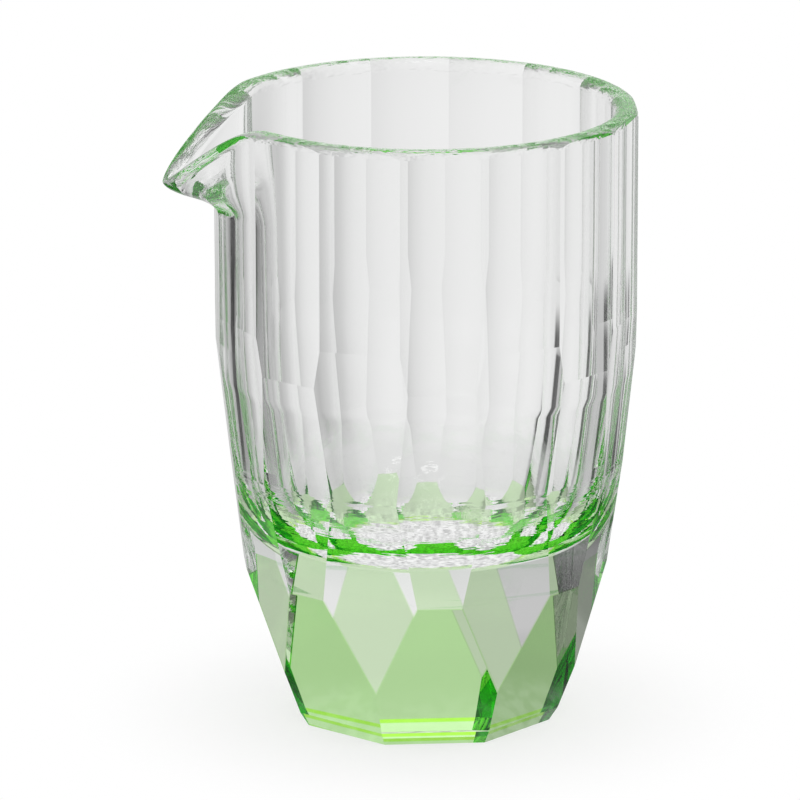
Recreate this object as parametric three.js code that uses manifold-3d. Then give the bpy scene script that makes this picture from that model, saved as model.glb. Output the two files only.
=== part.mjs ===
// Open cut-glass liquor decanter: a clear faceted cup with a pulled pouring lip, bonded on a solid cut foot
// that carries a thin green glass skin on its eight shield facets and the bevel below them.
// Millimetres, +Z up, origin at the centre of the face it stands on, pouring lip along -X.
import * as THREE from 'three';
import { mergeVertices } from 'three/addons/utils/BufferGeometryUtils.js';
import Module from 'manifold-3d';

// Overall body
const HEIGHT = 105.8;             // table to the crest of the rim
const APOTHEM = 35;               // axis to a vertical facet
const CUT_PAIRS = 8;              // shield facets; the kite facets stand between them
const WALL = 3.4;                 // glass between a vertical facet and the bore
const RIM_ROUND = 1.7;            // height of the fire-polished rounding of the rim

// Wheel cuts on the outside: where each tier starts and how far it leans in from the vertical
const KITE_START_Z = 71;
const KITE_LEAN_DEG = 4.3;
const PANEL_START_Z = 64.4;       // tier above the shields
const PANEL_LEAN_DEG = 6.74;
const KITE_LOW_START_Z = 44.9;
const KITE_LOW_LEAN_DEG = 10.5;
const SHIELD_TOP_Z = 26.4;
const SHIELD_LEAN_DEG = 19.9;
const BEVEL_H = 2.4;
const BEVEL_LEAN_DEG = 31;

// Bowl of the cup
const FLOOR_Z = 30.6;             // lowest point of the inside
const FLOOR_R = 13;               // nearly flat middle of the floor
const FLOOR_DISH = 0.5;           // rise of the floor from its middle to its edge
const BOWL_TOP_Z = 60;            // end of the straight bore
const BOWL_WALL = 3.5;            // glass between the bowl and the panel tier at the heel
const HEEL_R = 14;                // height of the round between the bowl wall and the floor
const HEEL_WALL_PULL = 0.62;      // how far the heel keeps to the wall before it turns
const HEEL_FLOOR_PULL = 0.6;      // how far it keeps to the floor

// Pouring lip, pulled out and down from the rim
const LIP_REACH = 8.4;
const LIP_REACH_DEG = 44.5;       // half spread of the beak
const LIP_REACH_POINT = 0.194;    // roundness of the beak's point
const LIP_REACH_POWER = 3.3;      // how fast the beak draws in to its point
const LIP_DROP = 12.55;
const LIP_DROP_DEG = 34.9;        // half spread of the dip
const LIP_DROP_POINT = 0.122;     // roundness of the dip
const LIP_DROP_POWER = 1.94;      // how softly the dip runs out
const LIP_ROOT = 16.3;            // height of wall drawn into the lip
const LIP_BELLY = 2.1;            // fullness of the beak's underside
const LIP_LEAD = 1.2;             // plain wall kept below the lip's root
const LIP_FADE = 3;               // how soon the facets fade into the lip

// Foot and bond
const FILM_T = 0.2;               // cured adhesive between cup and foot
const JOINT_RISE = 0.2;           // foot above the shields' top edges
const SKIN_T = 0.15;               // green glass on the shields and bevel
const SKIN_GAP = 0.05;            // fit of the foot inside its skin

// Smoothness of the curved surfaces
const FACET_STEPS = 4;            // columns across a facet
const LIP_FACET_STEPS = 8;        // columns across a facet beside the lip
const RIM_STEPS = 8;
const HEEL_STEPS = 7;
const LIP_STEPS = 12;

const CUT_OVERRUN = 1;            // cutters run past the work
const RAD = Math.PI / 180;
const BORE_R = APOTHEM - WALL;
const FACET_DEG = 180 / CUT_PAIRS;
const lean = (degrees) => Math.tan(degrees * RAD);

const wasm = await Module();
wasm.setup();

function solid(geometry) {
  const bare = new THREE.BufferGeometry();
  bare.setAttribute('position', geometry.getAttribute('position').clone());
  if (geometry.index) bare.setIndex(geometry.index.clone());
  const welded = mergeVertices(bare, 1e-4);
  const mesh = new wasm.Mesh({
    numProp: 3,
    vertProperties: new Float32Array(welded.getAttribute('position').array),
    triVerts: new Uint32Array(welded.index.array),
  });
  return new wasm.Manifold(mesh);
}

function toMesh(name, body, material) {
  const out = body.getMesh();
  const geometry = new THREE.BufferGeometry();
  geometry.setAttribute('position', new THREE.BufferAttribute(new Float32Array(out.vertProperties), 3));
  geometry.setIndex(new THREE.BufferAttribute(new Uint32Array(out.triVerts), 1));
  geometry.computeVertexNormals();
  const mesh = new THREE.Mesh(geometry, material);
  mesh.name = name;
  return mesh;
}

// Straight-sided cut: a many-sided cone whose flats face `firstDeg` and every step after it.
function cone(firstDeg, lowApothem, lowZ, highApothem, highZ, sides = CUT_PAIRS) {
  const toCorner = 1 / Math.cos(Math.PI / sides);
  const geometry = new THREE.CylinderGeometry(
    highApothem * toCorner, lowApothem * toCorner, highZ - lowZ, sides, 1);
  geometry.rotateX(Math.PI / 2);
  geometry.rotateZ((firstDeg + 90 - 180 / sides) * RAD);
  geometry.translate(0, 0, (lowZ + highZ) / 2);
  return solid(geometry);
}

// One tier of the outside: apothem at height z, and the heights it is used between.
function tier(firstDeg, startZ, startApothem, leanDeg) {
  const at = (z) => startApothem - (startZ - z) * lean(leanDeg);
  const between = (lowZ, highZ, inset = 0) => {
    const draw = inset / Math.cos(leanDeg * RAD);
    return cone(firstDeg, at(lowZ) - draw, lowZ, at(highZ) - draw, highZ);
  };
  return { at, between };
}

const half = FACET_DEG / 2;
const panel = tier(0, PANEL_START_Z, APOTHEM, PANEL_LEAN_DEG);
const kite = tier(FACET_DEG, KITE_START_Z, APOTHEM, KITE_LEAN_DEG);
const kiteLow = tier(FACET_DEG, KITE_LOW_START_Z, kite.at(KITE_LOW_START_Z), KITE_LOW_LEAN_DEG);
const shield = tier(0, SHIELD_TOP_Z, panel.at(SHIELD_TOP_Z), SHIELD_LEAN_DEG);
const bevel = tier(0, BEVEL_H, shield.at(BEVEL_H), BEVEL_LEAN_DEG);

const FOOT_TOP_Z = SHIELD_TOP_Z + JOINT_RISE;
const CUP_BASE_Z = FOOT_TOP_Z + FILM_T;

// Pouring lip: how much of a pull reaches a column, turned away from the beak by `deg`.
function peak(deg, spread, point, power) {
  const blunt = (x) => Math.hypot(x, point) - point;
  const t = 1 - blunt(deg / spread) / blunt(1);
  return t > 0 ? Math.pow(t, power) : 0;
}

function reachShare(deg) {
  return peak(deg, LIP_REACH_DEG, LIP_REACH_POINT, LIP_REACH_POWER);
}

function dropShare(deg) {
  return peak(deg, LIP_DROP_DEG, LIP_DROP_POINT, LIP_DROP_POWER);
}

// The beak swells out from its root and stands upright at the rim.
function swell(share) {
  return 1 - Math.pow(1 - Math.min(1, share), LIP_BELLY);
}

function pull(z) {
  const t = (z - (HEIGHT - LIP_ROOT)) / LIP_ROOT;
  return t > 0 ? t : 0;
}

// Cross-section of the cup blank, from the outer foot edge over the rim to the middle of the floor.
// Each entry holds the radius, the height and whether the vertical facets shape it.
function cupProfile() {
  const corner = APOTHEM / Math.cos(half * RAD);
  const rimMid = (corner + BORE_R) / 2;
  const rimHalf = (corner - BORE_R) / 2;
  const rimZ = HEIGHT - RIM_ROUND;
  const rootZ = HEIGHT - LIP_ROOT;
  const points = [];
  points.push({ r: corner, z: CUP_BASE_Z, cut: true });
  points.push({ r: corner, z: rootZ - LIP_LEAD, cut: true });
  for (let i = 0; i < LIP_STEPS; i += 1) {
    points.push({ r: corner, z: rootZ + (rimZ - rootZ) * i / LIP_STEPS, cut: true });
  }
  for (let i = 0; i <= RIM_STEPS; i += 1) {
    const a = Math.PI * i / RIM_STEPS;
    points.push({ r: rimMid + rimHalf * Math.cos(a), z: rimZ + RIM_ROUND * Math.sin(a), cut: true });
  }
  for (let i = LIP_STEPS - 1; i >= 0; i -= 1) {
    points.push({ r: BORE_R, z: rootZ + (rimZ - rootZ) * i / LIP_STEPS, cut: false });
  }
  points.push({ r: BORE_R, z: BOWL_TOP_Z, cut: false });
  for (const p of heel()) points.push({ r: p.x, z: p.y, cut: false });
  return points;
}

// Bowl wall leaning in, a round heel and a faintly dished floor, as points from the top down.
function heel() {
  const wallFootZ = FLOOR_Z + FLOOR_DISH + HEEL_R;
  const wallFootR = panel.at(wallFootZ) - BOWL_WALL;
  const top = new THREE.Vector2(BORE_R, BOWL_TOP_Z);
  const wallEnd = new THREE.Vector2(wallFootR, wallFootZ);
  const floorEdge = new THREE.Vector2(FLOOR_R, FLOOR_Z + FLOOR_DISH);
  const down = wallEnd.clone().sub(top).normalize();
  const reach = (wallEnd.y - floorEdge.y) * HEEL_WALL_PULL;
  const wallPull = wallEnd.clone().addScaledVector(down, reach);
  const floorPull = new THREE.Vector2(FLOOR_R + (wallFootR - FLOOR_R) * HEEL_FLOOR_PULL, FLOOR_Z + FLOOR_DISH);
  const round = new THREE.CubicBezierCurve(wallEnd, wallPull, floorPull, floorEdge);
  const points = round.getPoints(HEEL_STEPS);
  points.push(new THREE.Vector2(FLOOR_R * 0.5, FLOOR_Z + FLOOR_DISH * 0.25));
  return points;
}

// Angles of the columns, measured from the beak; every facet edge is one of them.
function columns() {
  const list = [];
  for (let facet = 0; facet < 2 * CUT_PAIRS; facet += 1) {
    const mid = facet * FACET_DEG;
    const away = Math.min(mid, 360 - mid);
    const steps = away < LIP_DROP_DEG ? LIP_FACET_STEPS : FACET_STEPS;
    for (let i = 0; i < steps; i += 1) list.push(mid - half + FACET_DEG * i / steps);
  }
  return list;
}

function cupBlank() {
  const profile = cupProfile();
  const angles = columns();
  const rows = profile.length;
  const positions = [];
  const index = [];
  for (const turn of angles) {
    const deg = turn > 180 ? turn - 360 : turn;
    const fromMid = ((turn + half) % FACET_DEG) - half;
    const flat = APOTHEM / Math.cos(fromMid * RAD);
    for (const p of profile) {
      const share = pull(p.z);
      const cutR = flat + (p.r - flat) * Math.min(1, share * reachShare(deg) * LIP_FADE);
      const r = (p.cut ? Math.min(p.r, cutR) : p.r) + LIP_REACH * reachShare(deg) * swell(share);
      const z = p.z - LIP_DROP * dropShare(deg) * share;
      const a = Math.PI + turn * RAD;
      positions.push(r * Math.cos(a), r * Math.sin(a), z);
    }
  }
  const base = positions.length / 3;
  positions.push(0, 0, CUP_BASE_Z, 0, 0, FLOOR_Z);
  const count = angles.length;
  for (let j = 0; j < count; j += 1) {
    const a = j * rows;
    const b = ((j + 1) % count) * rows;
    index.push(base, b, a);
    index.push(base + 1, a + rows - 1, b + rows - 1);
    for (let i = 0; i < rows - 1; i += 1) {
      index.push(a + i, b + i, b + i + 1);
      index.push(a + i, b + i + 1, a + i + 1);
    }
  }
  const geometry = new THREE.BufferGeometry();
  geometry.setAttribute('position', new THREE.Float32BufferAttribute(positions, 3));
  geometry.setIndex(index);
  return solid(geometry);
}

// Everything the cuts leave standing between two heights, below the start of the tiers.
function cutEnvelope(lowZ, highZ) {
  return panel.between(lowZ, highZ)
    .intersect(kite.between(lowZ, highZ))
    .intersect(kiteLow.between(lowZ, highZ));
}

function cupBody() {
  const clearR = 2 * (APOTHEM + LIP_REACH);
  const tiers = cutEnvelope(CUP_BASE_Z - CUT_OVERRUN, KITE_START_Z + CUT_OVERRUN);
  const above = cone(0, clearR, KITE_START_Z + CUT_OVERRUN / 2, clearR, HEIGHT + CUT_OVERRUN);
  return cupBlank().intersect(tiers.add(above));
}

function bondFilm() {
  return cutEnvelope(FOOT_TOP_Z, CUP_BASE_Z);
}

// Foot with its skin on, and the clear foot inside the skin.
function footOutside() {
  const low = bevel.between(0, BEVEL_H);
  const high = shield.between(BEVEL_H, FOOT_TOP_Z);
  return low.add(high).intersect(cutEnvelope(0, FOOT_TOP_Z));
}

function skinBed(inset, lowZ, highZ) {
  const low = bevel.between(lowZ, highZ, inset);
  const high = shield.between(lowZ, highZ, inset);
  return low.intersect(high);
}

function footCore() {
  return skinBed(SKIN_T + SKIN_GAP, 0, FOOT_TOP_Z).intersect(cutEnvelope(0, FOOT_TOP_Z));
}

function greenSkin() {
  return footOutside().subtract(skinBed(SKIN_T, -CUT_OVERRUN, FOOT_TOP_Z + CUT_OVERRUN));
}

const crystal = new THREE.MeshStandardMaterial({
  name: 'clear_crystal', color: 0xe6ecec, roughness: 0.03, metalness: 0, transparent: true, opacity: 0.45 });
const adhesive = new THREE.MeshStandardMaterial({
  name: 'cured_adhesive', color: 0xf2f4ee, roughness: 0.2, metalness: 0, transparent: true, opacity: 0.5 });
const greenGlass = new THREE.MeshStandardMaterial({
  name: 'green_glass', color: 0x6dbb5c, roughness: 0.03, metalness: 0, transparent: true, opacity: 0.7 });

const decanter = new THREE.Group();
decanter.name = 'liquor_decanter';
decanter.add(toMesh('cup_body', cupBody(), crystal));
decanter.add(toMesh('bond_film', bondFilm(), adhesive));
decanter.add(toMesh('foot_core', footCore(), crystal));
decanter.add(toMesh('green_skin', greenSkin(), greenGlass));

export default decanter;
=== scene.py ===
"""Open cut-glass liquor decanter: a clear faceted cup with a pulled lip, on a foot with a green skin.

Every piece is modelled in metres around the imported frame, +Z up, with the pouring lip along -X.
"""
import math
from collections import namedtuple

import bmesh
import bpy
from bpy.props import FloatProperty, FloatVectorProperty, PointerProperty
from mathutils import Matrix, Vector


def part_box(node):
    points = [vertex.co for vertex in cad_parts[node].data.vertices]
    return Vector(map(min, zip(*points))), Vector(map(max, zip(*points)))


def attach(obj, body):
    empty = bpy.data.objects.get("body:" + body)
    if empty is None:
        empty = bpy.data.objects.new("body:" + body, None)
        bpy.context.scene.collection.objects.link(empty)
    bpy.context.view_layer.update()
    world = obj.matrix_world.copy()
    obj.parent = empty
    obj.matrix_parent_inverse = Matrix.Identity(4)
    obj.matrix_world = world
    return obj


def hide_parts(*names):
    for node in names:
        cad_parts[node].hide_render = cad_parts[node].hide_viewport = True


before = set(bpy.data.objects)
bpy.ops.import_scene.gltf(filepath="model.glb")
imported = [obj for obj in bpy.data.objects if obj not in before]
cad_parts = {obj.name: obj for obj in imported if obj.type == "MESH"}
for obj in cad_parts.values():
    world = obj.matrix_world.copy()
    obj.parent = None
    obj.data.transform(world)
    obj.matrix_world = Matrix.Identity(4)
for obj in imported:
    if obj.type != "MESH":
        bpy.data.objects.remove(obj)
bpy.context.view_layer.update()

bl_info = {
    "name": "Cut Glass Decanter",
    "version": (1, 0, 0),
    "blender": (4, 5, 0),
    "location": "3D View > Sidebar > Decanter",
    "description": "Faceted glass decanter with a pulled lip on a green-skinned foot",
    "category": "Object",
}

CUP_LOW, CUP_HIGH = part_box("cup_body")
FILM_LOW, FILM_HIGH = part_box("bond_film")
CORE_LOW, CORE_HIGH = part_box("foot_core")
SKIN_LOW, SKIN_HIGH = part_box("green_skin")

MM = 0.001
CUT_PAIRS = 8
FACET = math.pi / CUT_PAIRS        # turn from one facet to the next
BEAK = math.pi                     # the lip points along -X
CURVED = 0                         # facet number of surfaces that aren't flat cuts
CUT_FINENESS = 1e-7

# Finish numbers of the faces; the film and the foot list a material for each of the first two
# the third finish marks the bevel faces that carry a painted lime highlight along their top edge
CLEAR, BONDED, PAINTED_HIGHLIGHT = range(3)
TOTAL_REFLECTION = 0.97            # share of light thrown back, above which none gets out
WAVE_MARK = "wave"                 # attribute of a face, how wavy its polish is
GUIDE_MARK = "guided"              # attribute of a face, 1 where light thrown back inside gets a painted green, standing in for light guided up from the green foot
BOND_MARK = "bonded"               # attribute of a face, 1 where the glass lies on its neighbour
HIGHLIGHT_MARK = "stained"             # attribute of a face, 1 where the green lies deeper
FLOW_MARK = "flow"                 # attribute of a face, 1 on the bevel, where a lime tint paints a highlight along its top edge

# Smoothness of the curved surfaces
FACET_STEPS = 16
LIP_FACET_STEPS = 44
LIP_ROWS = 36
RIM_ROWS = 40
LIP_LEAD_ROWS = 3                  # rows of straight wall below the lip's root
BOWL_ROWS = 10
HEEL_ROWS = 36
FLOOR_ROWS = 8

HIGHLIGHT_BAND = (1.5 * MM, 1.8 * MM)  # heights between which the bevel's painted lime highlight sets in

# How wavy the fire-polished surfaces are
RIM_WAVE = 1.0
HEEL_WAVE = 0.3
HEEL_STREAK = 0.3                  # waves round the heel for one round the rim, which makes long streaks
LIP_WAVE = 0.3                     # waves that the pull leaves in the lip
LIP_BROAD = 0.75                   # how much broader they grow towards its tip
LIP_CALM = 6.0                     # how soon the rim's waves calm down towards the tip of the lip
LIP_CLEAR = 0.4                    # share of the lip's dip at which the rim's painted green reflection ends
LIP_SOFT_START = 4                 # roundings of the crease by which the pull sets in below the root

# A ring of corners in the cup's section, whether the facets cut it, and how wavy the glass is after it
Row = namedtuple("Row", "radius height faceted wave")


# Properties that the panel shows

def length(name, text, default):
    """A length of the glass, in metres."""
    return FloatProperty(name=name, description=text, default=default, min=0.0,
                         unit="LENGTH", subtype="DISTANCE", precision=5)


def turn(name, text, degrees):
    """An angle, given in degrees and kept in radians."""
    return FloatProperty(name=name, description=text, default=math.radians(degrees),
                         unit="ROTATION", subtype="ANGLE")


def share(name, text, default):
    """A part of one."""
    return FloatProperty(name=name, description=text, default=default, min=0.0, max=1.0, subtype="FACTOR")


def number(name, text, default):
    """A plain number that isn't below zero."""
    return FloatProperty(name=name, description=text, default=default, min=0.0)


def colour(name, text, default):
    """A linear colour."""
    return FloatVectorProperty(name=name, description=text, default=default, min=0.0, max=1.0,
                               size=3, subtype="COLOR")


class DecanterSizes(bpy.types.PropertyGroup):
    """Sizes of the decanter's glass."""

    height: length("Height", "Table to the crest of the rim", CUP_HIGH.z)
    apothem: length("Apothem", "Axis to a vertical facet", CUP_HIGH.y)
    wall: length("Wall", "Glass between a vertical facet and the bore", 3.4 * MM)
    rim_round: length("Rim round", "Height of the fire-polished rounding of the rim", 1.7 * MM)
    kite_start: length("Kite start", "Height at which the kite facets start", 71 * MM)
    kite_lean: turn("Kite lean", "Lean of the kite facets from the vertical", 4.3)
    panel_start: length("Panel start", "Height at which the panels above the shields start", 64.4 * MM)
    panel_lean: turn("Panel lean", "Lean of the panels from the vertical", 6.74)
    kite_low_start: length("Low kite start", "Height at which the kites turn in further", 44.9 * MM)
    kite_low_lean: turn("Low kite lean", "Lean of the lower kites", 10.5)
    shield_top: length("Shield top", "Height of the shields' top edges", 26.4 * MM)
    shield_lean: turn("Shield lean", "Lean of the green shields", 19.9)
    bevel_height: length("Bevel height", "Height of the bevel round the underside", 2.4 * MM)
    bevel_lean: turn("Bevel lean", "Lean of the bevel", 31)
    floor_height: length("Floor height", "Lowest point of the inside", 30.6 * MM)
    floor_radius: length("Floor radius", "Nearly flat middle of the floor", 13 * MM)
    floor_dish: length("Floor dish", "Rise of the floor from its middle to its edge", 0.5 * MM)
    bowl_top: length("Bowl top", "End of the straight bore", 60 * MM)
    bowl_wall: length("Bowl wall", "Glass between the bowl and the panels at the heel", 3.5 * MM)
    heel_height: length("Heel height", "Height of the round between wall and floor", 14 * MM)
    heel_wall_pull: share("Heel wall pull", "How far the heel keeps to the wall", 0.62)
    heel_floor_pull: share("Heel floor pull", "How far the heel keeps to the floor", 0.6)
    skin: length("Skin", "Green glass on the shields and the bevel", 0.15 * MM)
    skin_gap: length("Skin gap", "Fit of the foot inside its skin", 0.002 * MM)


class LipSizes(bpy.types.PropertyGroup):
    """Sizes of the pouring lip, pulled out and down from the rim."""

    reach: length("Reach", "How far the beak stands out", 8.4 * MM)
    reach_turn: turn("Beak spread", "Half spread of the beak", 44.5)
    reach_point: share("Beak point", "Roundness of the beak's point", 0.194)
    reach_power: number("Beak power", "How fast the beak draws in to its point", 3.3)
    drop: length("Drop", "How far the beak dips", 12.55 * MM)
    drop_turn: turn("Dip spread", "Half spread of the dip", 34.9)
    drop_point: share("Dip point", "Roundness of the dip", 0.122)
    drop_power: number("Dip power", "How softly the dip runs out", 1.94)
    root: length("Root", "Height of wall drawn into the lip", 16.3 * MM)
    belly: number("Belly", "Fullness of the beak's underside", 2.1)
    fade: number("Fade", "How soon the facets fade into the lip", 3.0)
    start_round: share("Start round", "Softness of the crease at the lip's root", 0.05)


class DecanterFinish(bpy.types.PropertyGroup):
    """Colours of the glass and the stage."""

    glass_ior: number("Glass IOR", "Refraction of the crystal", 1.52)
    green: colour("Green", "Colour that the green skin soaks up least", (0.37, 0.87, 0.02))
    green_depth: number("Green depth", "Strength of the skin's green, per metre", 2667.0)
    cup_tint: colour("Cup tint", "Colour that the cup's clear glass soaks up least", (0.35, 0.75, 0.35))
    cup_depth: number("Cup depth", "Strength of the cup's tint, per metre", 1.2)
    # Painted green on the rim's inner reflections, standing in for light guided up the wall from the
    # green foot
    guided: colour("Guided light", "Tint of light that the rim throws back inside", (0.1, 0.6, 0.05))
    mirror: colour("Mirror", "Tint of light that the skin's surface throws back inside", (0.3, 0.9, 0.12))
    # Tint of the painted lime highlight along the bevel's top edge
    stain: colour("Stain", "Deeper green along the bevel's top edge", (0.5, 1.0, 0.02))
    wave_turns: number("Wave turns", "Waves of the fire polish per radian round the axis", 20.0)
    wave_width: length("Wave width", "Width of the fire polish's waves", 0.7 * MM)
    wave_height: length("Wave height", "Height of the fire polish's waves", 0.14 * MM)
    floor: colour("Floor", "Plain pale floor", (0.97, 0.97, 0.97))


# Wheel cuts and the meshes that they are made in

class Tier:
    """A ring of flat wheel cuts that lean in below a height."""

    def __init__(self, first, start_height, start_apothem, lean, sides=CUT_PAIRS):
        self.first = first
        self.start_height = start_height
        self.start_apothem = start_apothem
        self.lean = lean
        self.sides = sides

    def apothem_at(self, height):
        """Distance of the cuts from the axis at a height."""
        return self.start_apothem - (self.start_height - height) * math.tan(self.lean)

    def planes(self, inset=0.0):
        """The outward normal and the distance from the origin of each cut."""
        made = []
        for side in range(self.sides):
            angle = self.first + side * math.tau / self.sides
            normal = Vector((math.cos(angle) * math.cos(self.lean),
                             math.sin(angle) * math.cos(self.lean),
                             -math.sin(self.lean)))
            reach = self.start_apothem * math.cos(self.lean) - self.start_height * math.sin(self.lean)
            made.append((normal, reach - inset))
        return made


class Cuts:
    """Every tier of the outside, from the rim down to the bevel."""

    def __init__(self, sizes):
        self.upright = Tier(0.0, sizes.height, sizes.apothem, 0.0, 2 * CUT_PAIRS)
        self.panel = Tier(0.0, sizes.panel_start, sizes.apothem, sizes.panel_lean)
        self.kite = Tier(FACET, sizes.kite_start, sizes.apothem, sizes.kite_lean)
        self.kite_low = Tier(FACET, sizes.kite_low_start,
                             self.kite.apothem_at(sizes.kite_low_start), sizes.kite_low_lean)
        self.shield = Tier(0.0, sizes.shield_top,
                           self.panel.apothem_at(sizes.shield_top), sizes.shield_lean)
        self.bevel = Tier(0.0, sizes.bevel_height,
                          self.shield.apothem_at(sizes.bevel_height), sizes.bevel_lean)

    def sides(self):
        """The tiers that the cup and the foot share."""
        return self.panel.planes() + self.kite.planes() + self.kite_low.planes()


class Work:
    """A mesh being cut: it keeps the number of the cut that made each flat face."""

    def __init__(self):
        self.bm = bmesh.new()
        self.facet = self.bm.faces.layers.int.new("facet")
        self.wave = self.bm.faces.layers.float.new(WAVE_MARK)
        self.guided = self.bm.faces.layers.float.new(GUIDE_MARK)
        self.flow = self.bm.verts.layers.float_vector.new(FLOW_MARK)
        self.cuts = CURVED

    def next_facet(self):
        """The number of one more flat cut."""
        self.cuts += 1
        return self.cuts

    def face(self, corners, facet=CURVED, finish=CLEAR, wave=0.0, guided=0.0):
        """A face with its marks."""
        made = self.bm.faces.new(corners)
        made[self.facet] = facet
        made[self.wave] = wave
        made[self.guided] = guided
        made.material_index = finish

    def cut(self, normal, distance, finish=CLEAR):
        """Takes off what lies beyond a plane and closes the cut with one flat face."""
        everything = self.bm.verts[:] + self.bm.edges[:] + self.bm.faces[:]
        result = bmesh.ops.bisect_plane(self.bm, geom=everything, dist=CUT_FINENESS,
                                        plane_co=normal * distance, plane_no=normal, clear_outer=True)
        edges = [e for e in result["geom_cut"] if isinstance(e, bmesh.types.BMEdge) and e.is_boundary]
        if not edges:
            return
        facet = self.next_facet()
        for made in bmesh.ops.edgeloop_fill(self.bm, edges=edges)["faces"]:
            made[self.facet] = facet
            made.material_index = finish

    def block(self, low, high, reach, top=CLEAR, bottom=CLEAR):
        """A plain square block to cut from, between two heights."""
        rings = []
        for height in (low, high):
            corners = ((-reach, -reach), (reach, -reach), (reach, reach), (-reach, reach))
            rings.append([self.bm.verts.new((x, y, height)) for x, y in corners])
        lower, upper = rings
        self.face(lower[::-1], self.next_facet(), bottom)
        self.face(upper, self.next_facet(), top)
        for i in range(4):
            j = (i + 1) % 4
            self.face((lower[i], lower[j], upper[j], upper[i]), self.next_facet())

    def finished(self, name, materials=()):
        """The object, with hard edges between cuts and smooth shading elsewhere."""
        bm = self.bm
        bmesh.ops.remove_doubles(bm, verts=bm.verts[:], dist=CUT_FINENESS)
        bmesh.ops.recalc_face_normals(bm, faces=bm.faces[:])
        for face in bm.faces:
            face.smooth = True
        for edge in bm.edges:
            facets = {face[self.facet] for face in edge.link_faces}
            edge.smooth = len(facets) == 1
        mesh = bpy.data.meshes.new(name)
        bm.to_mesh(mesh)
        bm.free()
        for material in materials:
            mesh.materials.append(material)
        piece = bpy.data.objects.new(name, mesh)
        bpy.context.scene.collection.objects.link(piece)
        return piece


# Shader expressions and materials

def set_stops(ramp, stops):
    """Gives a new ramp its stops, each a place and a brightness, from one end to the other."""
    for place, level in stops[1:-1]:
        ramp.elements.new(place).color = (level, level, level, 1.0)
    for end in (0, -1):
        level = stops[end][1]
        ramp.elements[end].color = (level, level, level, 1.0)


class Socket:
    """A shader value: Python operators add Math nodes, node() adds any other."""

    def __init__(self, tree, socket=None):
        self.tree = tree
        self.socket = socket

    def node(self, kind, settings=None, inputs=None, output=0):
        """One output of a new node, with its settings, then the values or links of its inputs."""
        made = self.tree.nodes.new(kind)
        for name, value in (settings or {}).items():
            if name == "stops":
                set_stops(made.color_ramp, value)
            else:
                setattr(made, name, value)
        for key, value in (inputs or {}).items():
            if isinstance(value, Socket):
                self.tree.links.new(value.socket, made.inputs[key])
            else:
                made.inputs[key].default_value = value
        return Socket(self.tree, made.outputs[output] if made.outputs else None)

    def out(self, name):
        """Another output of the node that this value comes from."""
        return Socket(self.tree, self.socket.node.outputs[name])

    def math(self, operation, *values):
        """A Math node's result."""
        return self.node("ShaderNodeMath", {"operation": operation}, dict(enumerate(values)))

    def __add__(self, other):
        return self.math("ADD", self, other)

    def __radd__(self, other):
        return self.math("ADD", other, self)

    def __sub__(self, other):
        return self.math("SUBTRACT", self, other)

    def __rsub__(self, other):
        return self.math("SUBTRACT", other, self)

    def __mul__(self, other):
        return self.math("MULTIPLY", self, other)

    def __rmul__(self, other):
        return self.math("MULTIPLY", other, self)

    def most(self, other):
        """The greater of this value and the other."""
        return self.math("MAXIMUM", self, other)

    def fade(self, other, amount):
        """This value at amount 0, the other at 1."""
        return self + (other - self) * amount

    def blend(self, low, high):
        """The low colour at 0, the high one at 1, through the colour sockets of a Mix node."""
        return self.node("ShaderNodeMix", {"data_type": "RGBA"}, {0: self, 6: low, 7: high}, output=2)

    def smooth(self, low, high):
        """0 below low, 1 above high and a smooth step between."""
        return self.node("ShaderNodeMapRange", {"interpolation_type": "SMOOTHSTEP"},
                         {"Value": self, "From Min": low, "From Max": high})


def blank_material(name):
    """A material with an empty node tree, and the start of its expressions."""
    material = bpy.data.materials.new(name)
    material.use_nodes = True
    material.node_tree.nodes.clear()
    return material, Socket(material.node_tree)


def surface(start, shader):
    """Ends a material that is only a surface."""
    start.node("ShaderNodeOutputMaterial", None, {"Surface": shader})


def polished_glass(start, finish, **inputs):
    """Clear glass, as its outside shows."""
    return start.node("ShaderNodeBsdfPrincipled", None, {
        "Base Color": (1.0, 1.0, 1.0, 1.0), "Roughness": 0.0, "IOR": finish.glass_ior,
        "Transmission Weight": 1.0, **inputs})


def glass_body(start, outside, tint, depth):
    """Closed glass: its own outside, bonded faces that let light straight through, and colour within."""
    bonded = start.node("ShaderNodeBsdfTransparent")
    mark = start.node("ShaderNodeAttribute", {"attribute_name": BOND_MARK}, output="Fac")
    skin = start.node("ShaderNodeMixShader", None, {0: mark, 1: outside, 2: bonded})
    body = start.node("ShaderNodeVolumeAbsorption", None, {"Color": (*tint, 1.0), "Density": depth})
    start.node("ShaderNodeOutputMaterial", None, {"Surface": skin, "Volume": body})


def fire_polish(start, finish):
    """Normal of the faint waves on the rim, the lip and the heel, where the glass was fire-polished."""
    flow = start.node("ShaderNodeAttribute", {"attribute_name": FLOW_MARK}, output="Vector")
    waves = (finish.wave_turns, 1 / finish.wave_width, 1 / finish.wave_width)
    grain = start.node("ShaderNodeVectorMath", {"operation": "MULTIPLY"}, {0: flow, 1: waves})
    noise = start.node("ShaderNodeTexNoise", None, {"Vector": grain, "Scale": 1.0, "Detail": 1.0})
    wave = start.node("ShaderNodeAttribute", {"attribute_name": WAVE_MARK}, output="Fac")
    return start.node("ShaderNodeBump", None, {
        "Strength": wave, "Distance": finish.wave_height, "Height": noise})


def inside_mirror(start, finish, outside, tint, amount=1.0, **inputs):
    """The glass's outside, with tinted light where all of it is thrown back inside."""
    mirror = start.node("ShaderNodeBsdfGlossy", None, {"Color": (*tint, 1.0), "Roughness": 0.0, **inputs})
    bounce = start.node("ShaderNodeFresnel", None, {"IOR": finish.glass_ior, **inputs})
    inside = bounce.math("GREATER_THAN", bounce, TOTAL_REFLECTION) * amount
    return start.node("ShaderNodeMixShader", None, {0: inside, 1: outside, 2: mirror})


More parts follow.
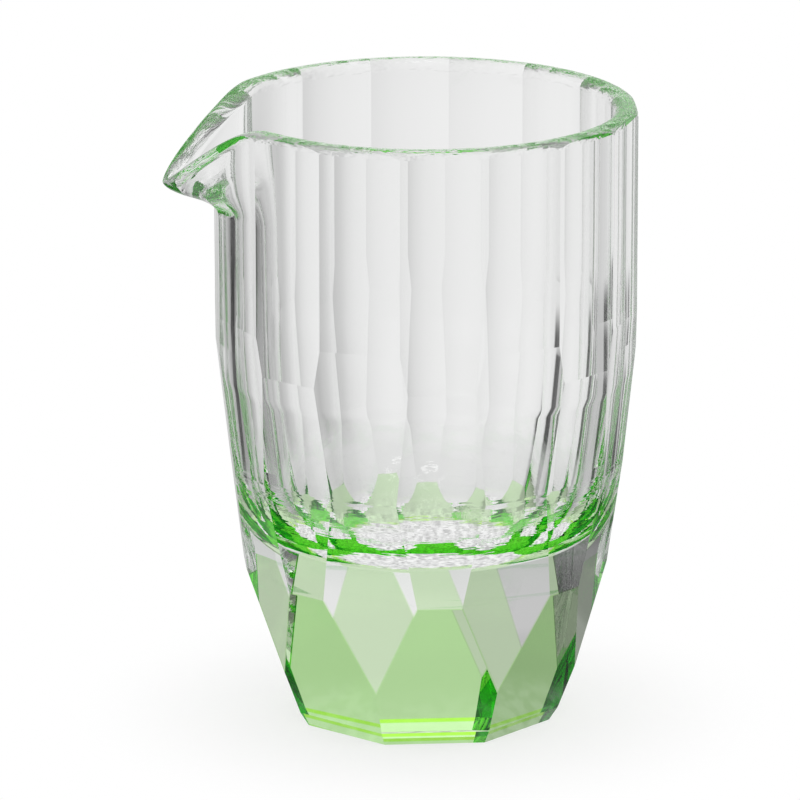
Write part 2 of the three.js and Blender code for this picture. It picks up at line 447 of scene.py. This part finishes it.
def cup_material(finish):
    """Clear glass of the cup, faintly green where light runs a long way through it; the rim's inner
    reflections get a painted green for light guided up from the green foot.
    """
    material, start = blank_material("cup_glass")
    normal = fire_polish(start, finish)
    guided = start.node("ShaderNodeAttribute", {"attribute_name": GUIDE_MARK}, output="Fac")
    polished = polished_glass(start, finish, Normal=normal)
    outside = inside_mirror(start, finish, polished, finish.guided, guided, Normal=normal)
    glass_body(start, outside, finish.cup_tint, finish.cup_depth)
    return material


def crystal_material(finish):
    """Clear polished crystal of the foot and the film's edge."""
    material, start = blank_material("polished_crystal")
    surface(start, polished_glass(start, finish))
    return material


def clear_bond_material():
    """A bonded face between two glasses of like refraction: light goes straight on."""
    material, start = blank_material("clear_bond")
    surface(start, start.node("ShaderNodeBsdfTransparent"))
    return material


def skin_material(finish):
    """Green glass that soaks up red and blue on the way through it, with a painted lime highlight along
    the bevel's top edge.
    """
    material, start = blank_material("green_skin")
    place = start.node("ShaderNodeTexCoord", output="Object")
    height = start.node("ShaderNodeSeparateXYZ", None, {0: place}, output="Z")
    stained = start.node("ShaderNodeAttribute", {"attribute_name": HIGHLIGHT_MARK}, output="Fac")
    # a lime tint on the bevel's top strip, painted in place of a bright line of light
    highlight_share = stained * height.smooth(*HIGHLIGHT_BAND)
    tint = highlight_share.blend((1.0, 1.0, 1.0, 1.0), (*finish.stain, 1.0))
    polished = polished_glass(start, finish, **{"Base Color": tint})
    outside = inside_mirror(start, finish, polished, finish.mirror)
    glass_body(start, outside, finish.green, finish.green_depth)
    return material


# The cup

def heel_curve(sizes, cuts):
    """Radius and height down the bowl's round heel, from the wall to the edge of the floor."""
    edge_height = sizes.floor_height + sizes.floor_dish
    wall_height = edge_height + sizes.heel_height
    wall_radius = cuts.panel.apothem_at(wall_height) - sizes.bowl_wall
    top = Vector((sizes.apothem - sizes.wall, sizes.bowl_top))
    start = Vector((wall_radius, wall_height))
    end = Vector((sizes.floor_radius, edge_height))
    down = (start - top).normalized()
    start_pull = start + down * (start.y - end.y) * sizes.heel_wall_pull
    end_pull = Vector((end.x + (start.x - end.x) * sizes.heel_floor_pull, end.y))
    points = []
    for i in range(HEEL_ROWS + 1):
        t = i / HEEL_ROWS
        s = 1 - t
        points.append(start * s ** 3 + start_pull * 3 * s * s * t
                      + end_pull * 3 * s * t * t + end * t ** 3)
    return points


def cup_profile(sizes, lip, cuts):
    """The blank's section from the outer base edge over the rim to the floor, row by row."""
    corner = sizes.apothem / math.cos(FACET / 2)
    bore = sizes.apothem - sizes.wall
    rim_height = sizes.height - sizes.rim_round
    root = sizes.height - lip.root
    rise = (rim_height - root) / LIP_ROWS
    above_kites = sizes.kite_start + lip.root / 4      # a ring between the kites' tips and the lip
    section = [Row(corner, height, True, 0.0) for height in (CUP_LOW.z, above_kites)]
    section += [Row(corner, root + rise * i, True, 0.0) for i in range(-LIP_LEAD_ROWS, LIP_ROWS)]
    for i in range(RIM_ROWS + 1):
        angle = math.pi * i / RIM_ROWS
        radius = (corner + bore) / 2 + (corner - bore) / 2 * math.cos(angle)
        section.append(Row(radius, rim_height + sizes.rim_round * math.sin(angle), True, RIM_WAVE))
    section += [Row(bore, root + rise * i, False, 0.0) for i in reversed(range(-LIP_LEAD_ROWS, LIP_ROWS))]
    heel = heel_curve(sizes, cuts)
    wall_top = Vector((bore, sizes.bowl_top))
    section += [Row(*wall_top.lerp(heel[0], i / BOWL_ROWS), False, 0.0) for i in range(BOWL_ROWS)]
    section += [Row(*point, False, HEEL_WAVE) for point in heel]
    for i in range(FLOOR_ROWS - 1, 0, -1):
        part = i / FLOOR_ROWS
        dished = sizes.floor_height + sizes.floor_dish * part ** 2
        section.append(Row(sizes.floor_radius * part, dished, False, HEEL_WAVE))
    return section


def peak(angle, spread, point, power):
    """How much of a pull reaches a column turned away from the beak by an angle."""
    def blunt(x):
        return math.hypot(x, point) - point
    rest = 1 - blunt(angle / spread) / blunt(1)
    return rest ** power if rest > 0 else 0.0


def lip_reach_share(angle, lip):
    """How far a column is pulled out, as a share of the lip's reach."""
    return peak(angle, lip.reach_turn, lip.reach_point, lip.reach_power)


def lip_drop_share(angle, lip):
    """How far a column is pulled down, as a share of the lip's drop."""
    return peak(angle, lip.drop_turn, lip.drop_point, lip.drop_power)


def lip_pull(height, sizes, lip):
    """0 below the lip's root, growing to 1 at the crest of the rim."""
    part = (height - (sizes.height - lip.root)) / lip.root
    if part <= -LIP_SOFT_START * lip.start_round:
        return 0.0
    return (part + math.hypot(part, lip.start_round)) / 2


def from_beak(angle):
    """The turn from the beak, from minus to plus a half turn."""
    return (angle - BEAK + math.pi) % math.tau - math.pi


def beside_lip(middle, lip):
    """Whether the lip is drawn from the facet whose middle is that far from the beak."""
    return abs(middle) < lip.drop_turn


def cup_columns(lip):
    """Turns from the beak of each column and of its facet's middle; every facet edge is a column."""
    columns = []
    for side in range(2 * CUT_PAIRS):
        middle = from_beak(BEAK + side * FACET)
        steps = LIP_FACET_STEPS if beside_lip(middle, lip) else FACET_STEPS
        columns += [(middle + FACET * (i / steps - 0.5), middle) for i in range(steps)]
    return columns


def cup_rings(work, section, columns, sizes, lip):
    """The blank's corners, column by column; the facets beside the lip are already flat."""
    rings = []
    for angle, middle in columns:
        flat = sizes.apothem / math.cos(angle - middle)
        around = BEAK + angle
        ring = []
        for radius, height, faceted, _ in section:
            if faceted and beside_lip(middle, lip):
                fade = lip_pull(height, sizes, lip) * lip_reach_share(angle, lip) * lip.fade
                radius = min(radius, flat + (radius - flat) * min(1.0, fade))
            ring.append(work.bm.verts.new((radius * math.cos(around), radius * math.sin(around), height)))
        rings.append(ring)
    return rings


def cup_blank(work, sizes, lip, cuts):
    """The turned cup before its cuts."""
    section = cup_profile(sizes, lip, cuts)
    columns = cup_columns(lip)
    rings = cup_rings(work, section, columns, sizes, lip)
    centre = work.bm.verts.new((0.0, 0.0, sizes.floor_height))
    root = sizes.height - lip.root
    flats = {}
    for (angle, middle), ring, following in zip(columns, rings, rings[1:] + rings[:1]):
        dip = lip_drop_share(angle, lip)
        for i, (row, next_row) in enumerate(zip(section, section[1:])):
            facet = CURVED
            if row.faceted and next_row.height <= root and beside_lip(middle, lip):
                if middle not in flats:
                    flats[middle] = work.next_facet()
                facet = flats[middle]
            pulled = dip * lip_pull(row.height, sizes, lip)
            calm = max(0.0, 1 - LIP_CALM * pulled)
            # rim faces whose inner reflections get the painted green
            green = row.faceted and row.wave > 0 and pulled < LIP_CLEAR
            work.face((ring[i], following[i], following[i + 1], ring[i + 1]), facet,
                      wave=row.wave * calm + LIP_WAVE * pulled, guided=float(green))
        work.face((ring[-1], following[-1], centre))
    work.face([ring[0] for ring in reversed(rings)], work.next_facet(), BONDED)


def pull_lip(work, sizes, lip):
    """Draws the rim out and down into the pouring lip, and keeps where each corner came from."""
    for vert in work.bm.verts:
        angle = from_beak(math.atan2(vert.co.y, vert.co.x))
        radius = math.hypot(vert.co.x, vert.co.y)
        pull = lip_pull(vert.co.z, sizes, lip)
        broad = 1 - LIP_BROAD * lip_drop_share(angle, lip) * pull
        streak = HEEL_STREAK if vert.co.z < sizes.bowl_top else 1.0
        blunt_turn = math.hypot(angle, lip.drop_turn / 2)      # without a crease in the waves at the beak
        vert[work.flow] = (blunt_turn * streak,
                           (radius - sizes.apothem) * broad,
                           (vert.co.z - sizes.height) * broad)
        if not pull:
            continue
        swell = 1 - (1 - min(1.0, pull)) ** lip.belly
        grown = (radius + lip.reach * lip_reach_share(angle, lip) * swell) / radius
        vert.co = (vert.co.x * grown, vert.co.y * grown,
                   vert.co.z - lip.drop * lip_drop_share(angle, lip) * pull)


def one_body(piece, material):
    """Keeps each face's finish as numbers that the piece's one material reads."""
    mesh = piece.data
    for mark, finish in ((BOND_MARK, BONDED), (HIGHLIGHT_MARK, PAINTED_HIGHLIGHT)):
        marked = [float(polygon.material_index == finish) for polygon in mesh.polygons]
        mesh.attributes.new(mark, "FLOAT", "FACE").data.foreach_set("value", marked)
    mesh.polygons.foreach_set("material_index", [0] * len(mesh.polygons))
    mesh.materials.clear()
    mesh.materials.append(material)
    return piece


def cup_piece(sizes, lip, material):
    """The cup: its blank, the cuts and the pulled lip."""
    cuts = Cuts(sizes)
    work = Work()
    cup_blank(work, sizes, lip, cuts)
    for normal, distance in cuts.upright.planes():
        if not beside_lip(from_beak(math.atan2(normal.y, normal.x)), lip):
            work.cut(normal, distance)
    for normal, distance in cuts.sides():
        work.cut(normal, distance)
    pull_lip(work, sizes, lip)
    return one_body(work.finished("cup"), material)


# The film, the foot and its skin

def film_piece(sizes, materials):
    """The adhesive between cup and foot, flush with both."""
    work = Work()
    work.block(FILM_LOW.z, FILM_HIGH.z, 2 * sizes.apothem, BONDED, BONDED)
    for normal, distance in Cuts(sizes).sides():
        work.cut(normal, distance)
    return work.finished("adhesive_film", materials)


def core_piece(sizes, materials):
    """The clear foot, bedded in its skin."""
    cuts = Cuts(sizes)
    inset = sizes.skin + sizes.skin_gap
    work = Work()
    work.block(CORE_LOW.z, CORE_HIGH.z, 2 * sizes.apothem, BONDED, BONDED)
    for normal, distance in cuts.sides():
        work.cut(normal, distance)
    for normal, distance in cuts.shield.planes(inset) + cuts.bevel.planes(inset):
        work.cut(normal, distance, BONDED)
    return work.finished("clear_foot", materials)


def skin_piece(sizes, material):
    """The green band: the foot's outside less the bed that the clear foot lies in."""
    cuts = Cuts(sizes)
    outside = Work()
    outside.block(SKIN_LOW.z, SKIN_HIGH.z, 2 * sizes.apothem, BONDED)
    for normal, distance in cuts.sides() + cuts.shield.planes():
        outside.cut(normal, distance)
    for normal, distance in cuts.bevel.planes():
        # the bevel faces carry the painted lime highlight
        outside.cut(normal, distance, PAINTED_HIGHLIGHT)
    band = outside.finished("green_skin_glass")
    inside = Work()
    inside.block(SKIN_LOW.z - sizes.skin, SKIN_HIGH.z + sizes.skin, 2 * sizes.apothem, BONDED, BONDED)
    for normal, distance in cuts.shield.planes(sizes.skin) + cuts.bevel.planes(sizes.skin):
        inside.cut(normal, distance, BONDED)
    bed = inside.finished("skin_bed")
    hollow = band.modifiers.new("bed", "BOOLEAN")
    hollow.operation = "DIFFERENCE"
    hollow.solver = "EXACT"
    hollow.object = bed
    view = bpy.context.evaluated_depsgraph_get()
    plain = band.data
    band.data = bpy.data.meshes.new_from_object(band.evaluated_get(view))
    band.modifiers.clear()
    bpy.data.meshes.remove(plain)
    bpy.data.meshes.remove(bed.data)
    band.data.shade_flat()
    return one_body(band, material)


# Operators that make the pieces

def shared_material(name, make):
    """The material of that name, made once."""
    return bpy.data.materials.get(name) or make()


def glass_materials(finish):
    """Materials of the film and the foot, in the order of the finish numbers."""
    return [shared_material("polished_crystal", lambda: crystal_material(finish)),
            shared_material("clear_bond", clear_bond_material)]


def seat(piece, node):
    """Puts a piece in the place of its solid, on the one body that there is."""
    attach(piece, "root")
    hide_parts(node)


class DECANTER_OT_cup(bpy.types.Operator):
    """Make the clear faceted cup with its pulled lip"""

    bl_idname = "decanter.cup"
    bl_label = "Cup"

    def execute(self, context):
        scene = context.scene
        piece = cup_piece(scene.decanter_sizes, scene.decanter_lip, cup_material(scene.decanter_finish))
        seat(piece, "cup_body")
        return {"FINISHED"}


class DECANTER_OT_film(bpy.types.Operator):
    """Make the clear adhesive between the cup and the foot"""

    bl_idname = "decanter.film"
    bl_label = "Adhesive film"

    def execute(self, context):
        scene = context.scene
        piece = film_piece(scene.decanter_sizes, glass_materials(scene.decanter_finish))
        seat(piece, "bond_film")
        return {"FINISHED"}


class DECANTER_OT_foot(bpy.types.Operator):
    """Make the solid clear foot"""

    bl_idname = "decanter.foot"
    bl_label = "Clear foot"

    def execute(self, context):
        scene = context.scene
        piece = core_piece(scene.decanter_sizes, glass_materials(scene.decanter_finish))
        seat(piece, "foot_core")
        return {"FINISHED"}


class DECANTER_OT_skin(bpy.types.Operator):
    """Make the green skin on the shields and the bevel"""

    bl_idname = "decanter.skin"
    bl_label = "Green skin"

    def execute(self, context):
        scene = context.scene
        piece = skin_piece(scene.decanter_sizes, skin_material(scene.decanter_finish))
        seat(piece, "green_skin")
        return {"FINISHED"}


# The stage: floor, studio light and camera
FLOOR_SIZE = 6.0
FLOOR_CLEARANCE = 0.1 * MM
SHADOW = (30 * MM, 62 * MM)        # where the shadow round the foot fades out
SHADOW_LIFT = 0.7                  # how much of the shadow is lifted at the foot

# The floor as the glass shows it: under the foot, close by in front, and further off
UNDER = (27 * MM, 34 * MM)         # where the light under the foot ends
UNDER_LEVEL = (0.54, 0.98)         # darkest and brightest of the mottled light under the foot
UNDER_GRAIN = 420.0                # mottles per metre
UNDER_MOTTLE = (0.35, 0.62)        # values of the noise between which the mottles go from dark to bright
CLOSE = (90 * MM, 180 * MM)        # where the darker floor in front of the foot ends
CLOSE_TURN = (-20 * MM, 30 * MM)   # along Y, where it ends beside the foot
CLOSE_LEVEL = 0.25                 # brightness that is left there
HORIZON = (420 * MM, 650 * MM)     # where the floor goes over into the world behind it

# Ring of light panels that the glass shows: degrees from +Y towards +X, and brightness
RING = (
    (-180, 0.55), (-118, 0.55), (-92, 0.6), (-78, 0.5), (-66, 0.33), (-57, 0.25), (-51, 0.05),
    (-42, 0.06), (-37, 0.28), (-28, 0.46), (-20, 0.57), (-14, 0.56), (-9, 0.64), (-4, 0.76),
    (1, 0.83), (8, 0.87), (16, 0.89), (24, 0.88), (32, 0.83), (45, 0.8), (54, 0.68),
    (70, 0.62), (88, 0.6), (118, 0.55), (180, 0.55))
# The same on the floor near the foot, out to where it fades into the ring
NEAR_RING = (
    (-180, 0.55), (-92, 0.55), (-70, 0.35), (-53, 0.3), (-51, 0.03), (-40, 0.03), (-38.5, 0.36),
    (-30, 0.5), (-26, 0.54), (-20, 0.46), (-15, 0.55), (-10, 0.62), (-5, 0.75), (0, 0.82),
    (6, 0.87), (12, 0.9), (22, 0.89), (29, 0.84), (30.5, 0.04), (38, 0.04), (39.5, 0.55),
    (47, 0.5), (49, 0.04), (60, 0.03), (62, 0.5), (90, 0.55), (180, 0.55))
NEAR = (215 * MM, 270 * MM)
INNER = (75 * MM, 115 * MM)        # where the plainer floor round the foot goes over into the panels
INNER_LEVEL = 0.75
INNER_SHARE = 0.55                 # how much of the panels is lost there
WORLD_RING = (0.14, 0.74)          # start and share of the ring above the floor's horizon
STRIP = (0.2, 0.24, 0.3, 0.34)     # low strip of light round the studio, as heights of the unit vector
STRIP_LEVEL = 0.42
CEILING_START = (0.45, 0.8)        # height of the direction's unit vector
CEILING_LEVEL = 0.95
LAMP_TILT = math.radians(8)        # the lamp overhead leans to the front, along -Y
LAMP_DEGREES = (7, 6, 4, 3)        # from its middle, where the ring-shaped lamp fades in and out again
LAMP_RING = tuple(math.cos(math.radians(degrees)) for degrees in LAMP_DEGREES)
LAMP_LEVEL = 3.0
LIGHT_BOUNCES = 32                 # enough for light that the glass throws back many times
CLEAR_BOUNCES = 64


def light_paths(start):
    """Whether a ray comes straight from the camera, and whether it is one that shows the studio."""
    camera = start.node("ShaderNodeLightPath", output="Is Camera Ray")
    return camera, camera.out("Is Glossy Ray").most(camera.out("Is Transmission Ray"))


def panel_light(place, panels):
    """Brightness of a ring of panels towards a place."""
    east = place.node("ShaderNodeSeparateXYZ", None, {0: place}, output="X")
    around = east.math("ARCTAN2", east, east.out("Y")) * (1 / math.tau) + 0.5
    stops = [(degrees / 360 + 0.5, level) for degrees, level in panels]
    return place.node("ShaderNodeValToRGB", {"stops": stops}, {"Fac": around})


def horizon_light(ring):
    """The ring as it shows above the floor's horizon."""
    return WORLD_RING[0] + WORLD_RING[1] * ring


def floor_material(finish):
    """Pale floor that keeps the shadow near the foot and is plain white further off."""
    material, start = blank_material("pale_floor")
    camera, studio = light_paths(start)
    place = start.node("ShaderNodeTexCoord", output="Object")
    away = start.node("ShaderNodeVectorMath", {"operation": "LENGTH"}, {0: place}, output="Value")
    north = start.node("ShaderNodeSeparateXYZ", None, {0: place}, output="Y")
    ring = panel_light(place, RING)
    seen = ring.fade(horizon_light(ring), away.smooth(*HORIZON))
    seen = panel_light(place, NEAR_RING).fade(seen, away.smooth(*NEAR))
    seen = seen.fade(INNER_LEVEL, INNER_SHARE * (1 - away.smooth(*INNER)))
    lit = north.smooth(*CLOSE_TURN).most(away.smooth(*CLOSE))
    seen = seen * (CLOSE_LEVEL + (1 - CLOSE_LEVEL) * lit)
    grain = start.node("ShaderNodeTexNoise", None, {"Vector": place, "Scale": UNDER_GRAIN, "Detail": 1.0})
    under = UNDER_LEVEL[0] + (UNDER_LEVEL[1] - UNDER_LEVEL[0]) * grain.smooth(*UNDER_MOTTLE)
    seen = under.fade(seen, away.smooth(*UNDER))
    matt = start.node("ShaderNodeBsdfDiffuse", None, {"Color": (*finish.floor, 1.0)})
    plain = start.node("ShaderNodeEmission", None, {"Color": camera.most(seen)})
    lifted = camera * (SHADOW_LIFT + (1 - SHADOW_LIFT) * away.smooth(*SHADOW))
    shown = studio.most(lifted)
    surface(start, start.node("ShaderNodeMixShader", None, {0: shown, 1: matt, 2: plain}))
    return material


def floor_piece(finish):
    """The floor, just clear of the foot."""
    mesh = bpy.data.meshes.new("floor")
    half = FLOOR_SIZE / 2
    corners = [(-half, -half, 0), (half, -half, 0), (half, half, 0), (-half, half, 0)]
    mesh.from_pydata(corners, [], [(0, 1, 2, 3)])
    mesh.materials.append(floor_material(finish))
    piece = bpy.data.objects.new("floor", mesh)
    piece.location.z = -FLOOR_CLEARANCE
    bpy.context.scene.collection.objects.link(piece)


def studio_world():
    """White behind the object, plain even light on it, and panels that only the glass shows."""
    world = bpy.data.worlds.new("studio")
    world.use_nodes = True
    world.node_tree.nodes.clear()
    start = Socket(world.node_tree)
    studio = light_paths(start)[1]
    towards = start.node("ShaderNodeTexCoord", output="Generated")
    height = start.node("ShaderNodeSeparateXYZ", None, {0: towards}, output="Z")
    ceiling = height.smooth(*CEILING_START)
    strip = height.smooth(*STRIP[:2]) * (1 - height.smooth(*STRIP[2:])) * STRIP_LEVEL
    ring = horizon_light(panel_light(towards, RING))
    overhead = Vector((0.0, -math.sin(LAMP_TILT), math.cos(LAMP_TILT)))
    aim = start.node("ShaderNodeVectorMath", {"operation": "DOT_PRODUCT"},
                     {0: towards, 1: overhead}, output="Value")
    lamp = aim.smooth(*LAMP_RING[:2]) * (1 - aim.smooth(*LAMP_RING[2:])) * LAMP_LEVEL
    shown = ring.fade(CEILING_LEVEL, ceiling) + strip + lamp
    light = start.node("ShaderNodeBackground", None, {"Color": 1 + studio * (shown - 1)})
    start.node("ShaderNodeOutputWorld", None, {"Surface": light})
    bpy.context.scene.world = world


# Camera of the photograph's view
VIEW_AZIMUTH = math.radians(-4.566)
VIEW_ELEVATION = math.radians(15.427)
VIEW_DISTANCE = 1417.9 * MM
VIEW_HEIGHT = 52 * MM
VIEW_RIGHT = -4.265 * MM
VIEW_UP = 2.158 * MM
VIEW_LENS = 378.5
VIEW_CLIP = (0.01, 20.0)


def photo_camera():
    """The camera, aimed so that the object stands where the photograph has it."""
    back = Vector((math.sin(VIEW_AZIMUTH) * math.cos(VIEW_ELEVATION),
                   -math.cos(VIEW_AZIMUTH) * math.cos(VIEW_ELEVATION),
                   math.sin(VIEW_ELEVATION)))
    right = Vector((math.cos(VIEW_AZIMUTH), math.sin(VIEW_AZIMUTH), 0.0))
    up = back.cross(right)
    target = Vector((0.0, 0.0, VIEW_HEIGHT))
    aim = target + right * VIEW_RIGHT + up * VIEW_UP
    lens = bpy.data.cameras.new("photo_view")
    lens.lens = VIEW_LENS
    lens.clip_start, lens.clip_end = VIEW_CLIP
    camera = bpy.data.objects.new("photo_view", lens)
    camera.location = target + back * VIEW_DISTANCE
    camera.rotation_mode = "QUATERNION"
    camera.rotation_quaternion = (aim - camera.location).to_track_quat("-Z", "Y")
    bpy.context.scene.collection.objects.link(camera)
    bpy.context.scene.camera = camera


class DECANTER_OT_stage(bpy.types.Operator):
    """Make the floor, the studio light and the camera"""

    bl_idname = "decanter.stage"
    bl_label = "Stage"

    def execute(self, context):
        scene = context.scene
        floor_piece(scene.decanter_finish)
        studio_world()
        photo_camera()
        scene.view_settings.view_transform = "Standard"
        scene.cycles.max_bounces = LIGHT_BOUNCES
        scene.cycles.transmission_bounces = LIGHT_BOUNCES
        scene.cycles.glossy_bounces = LIGHT_BOUNCES
        scene.cycles.transparent_max_bounces = CLEAR_BOUNCES
        return {"FINISHED"}


# Panel and registration
OPERATORS = (DECANTER_OT_cup, DECANTER_OT_film, DECANTER_OT_foot, DECANTER_OT_skin, DECANTER_OT_stage)


class DECANTER_PT_pieces(bpy.types.Panel):
    """The decanter's sizes and pieces"""

    bl_label = "Decanter"
    bl_idname = "DECANTER_PT_pieces"
    bl_space_type = "VIEW_3D"
    bl_region_type = "UI"
    bl_category = "Decanter"

    def draw(self, context):
        scene = context.scene
        for group in (scene.decanter_sizes, scene.decanter_lip, scene.decanter_finish):
            box = self.layout.box()
            for name in group.__annotations__:
                box.prop(group, name)
        for operator in OPERATORS:
            self.layout.operator(operator.bl_idname)


CLASSES = (DecanterSizes, LipSizes, DecanterFinish, *OPERATORS, DECANTER_PT_pieces)


def register():
    for item in CLASSES:
        bpy.utils.register_class(item)
    bpy.types.Scene.decanter_sizes = PointerProperty(type=DecanterSizes)
    bpy.types.Scene.decanter_lip = PointerProperty(type=LipSizes)
    bpy.types.Scene.decanter_finish = PointerProperty(type=DecanterFinish)


def unregister():
    del bpy.types.Scene.decanter_finish
    del bpy.types.Scene.decanter_lip
    del bpy.types.Scene.decanter_sizes
    for item in reversed(CLASSES):
        bpy.utils.unregister_class(item)


def main():
    register()
    bpy.ops.decanter.cup()
    bpy.ops.decanter.film()
    bpy.ops.decanter.foot()
    bpy.ops.decanter.skin()
    bpy.ops.decanter.stage()


if __name__ == "__main__":
    main()
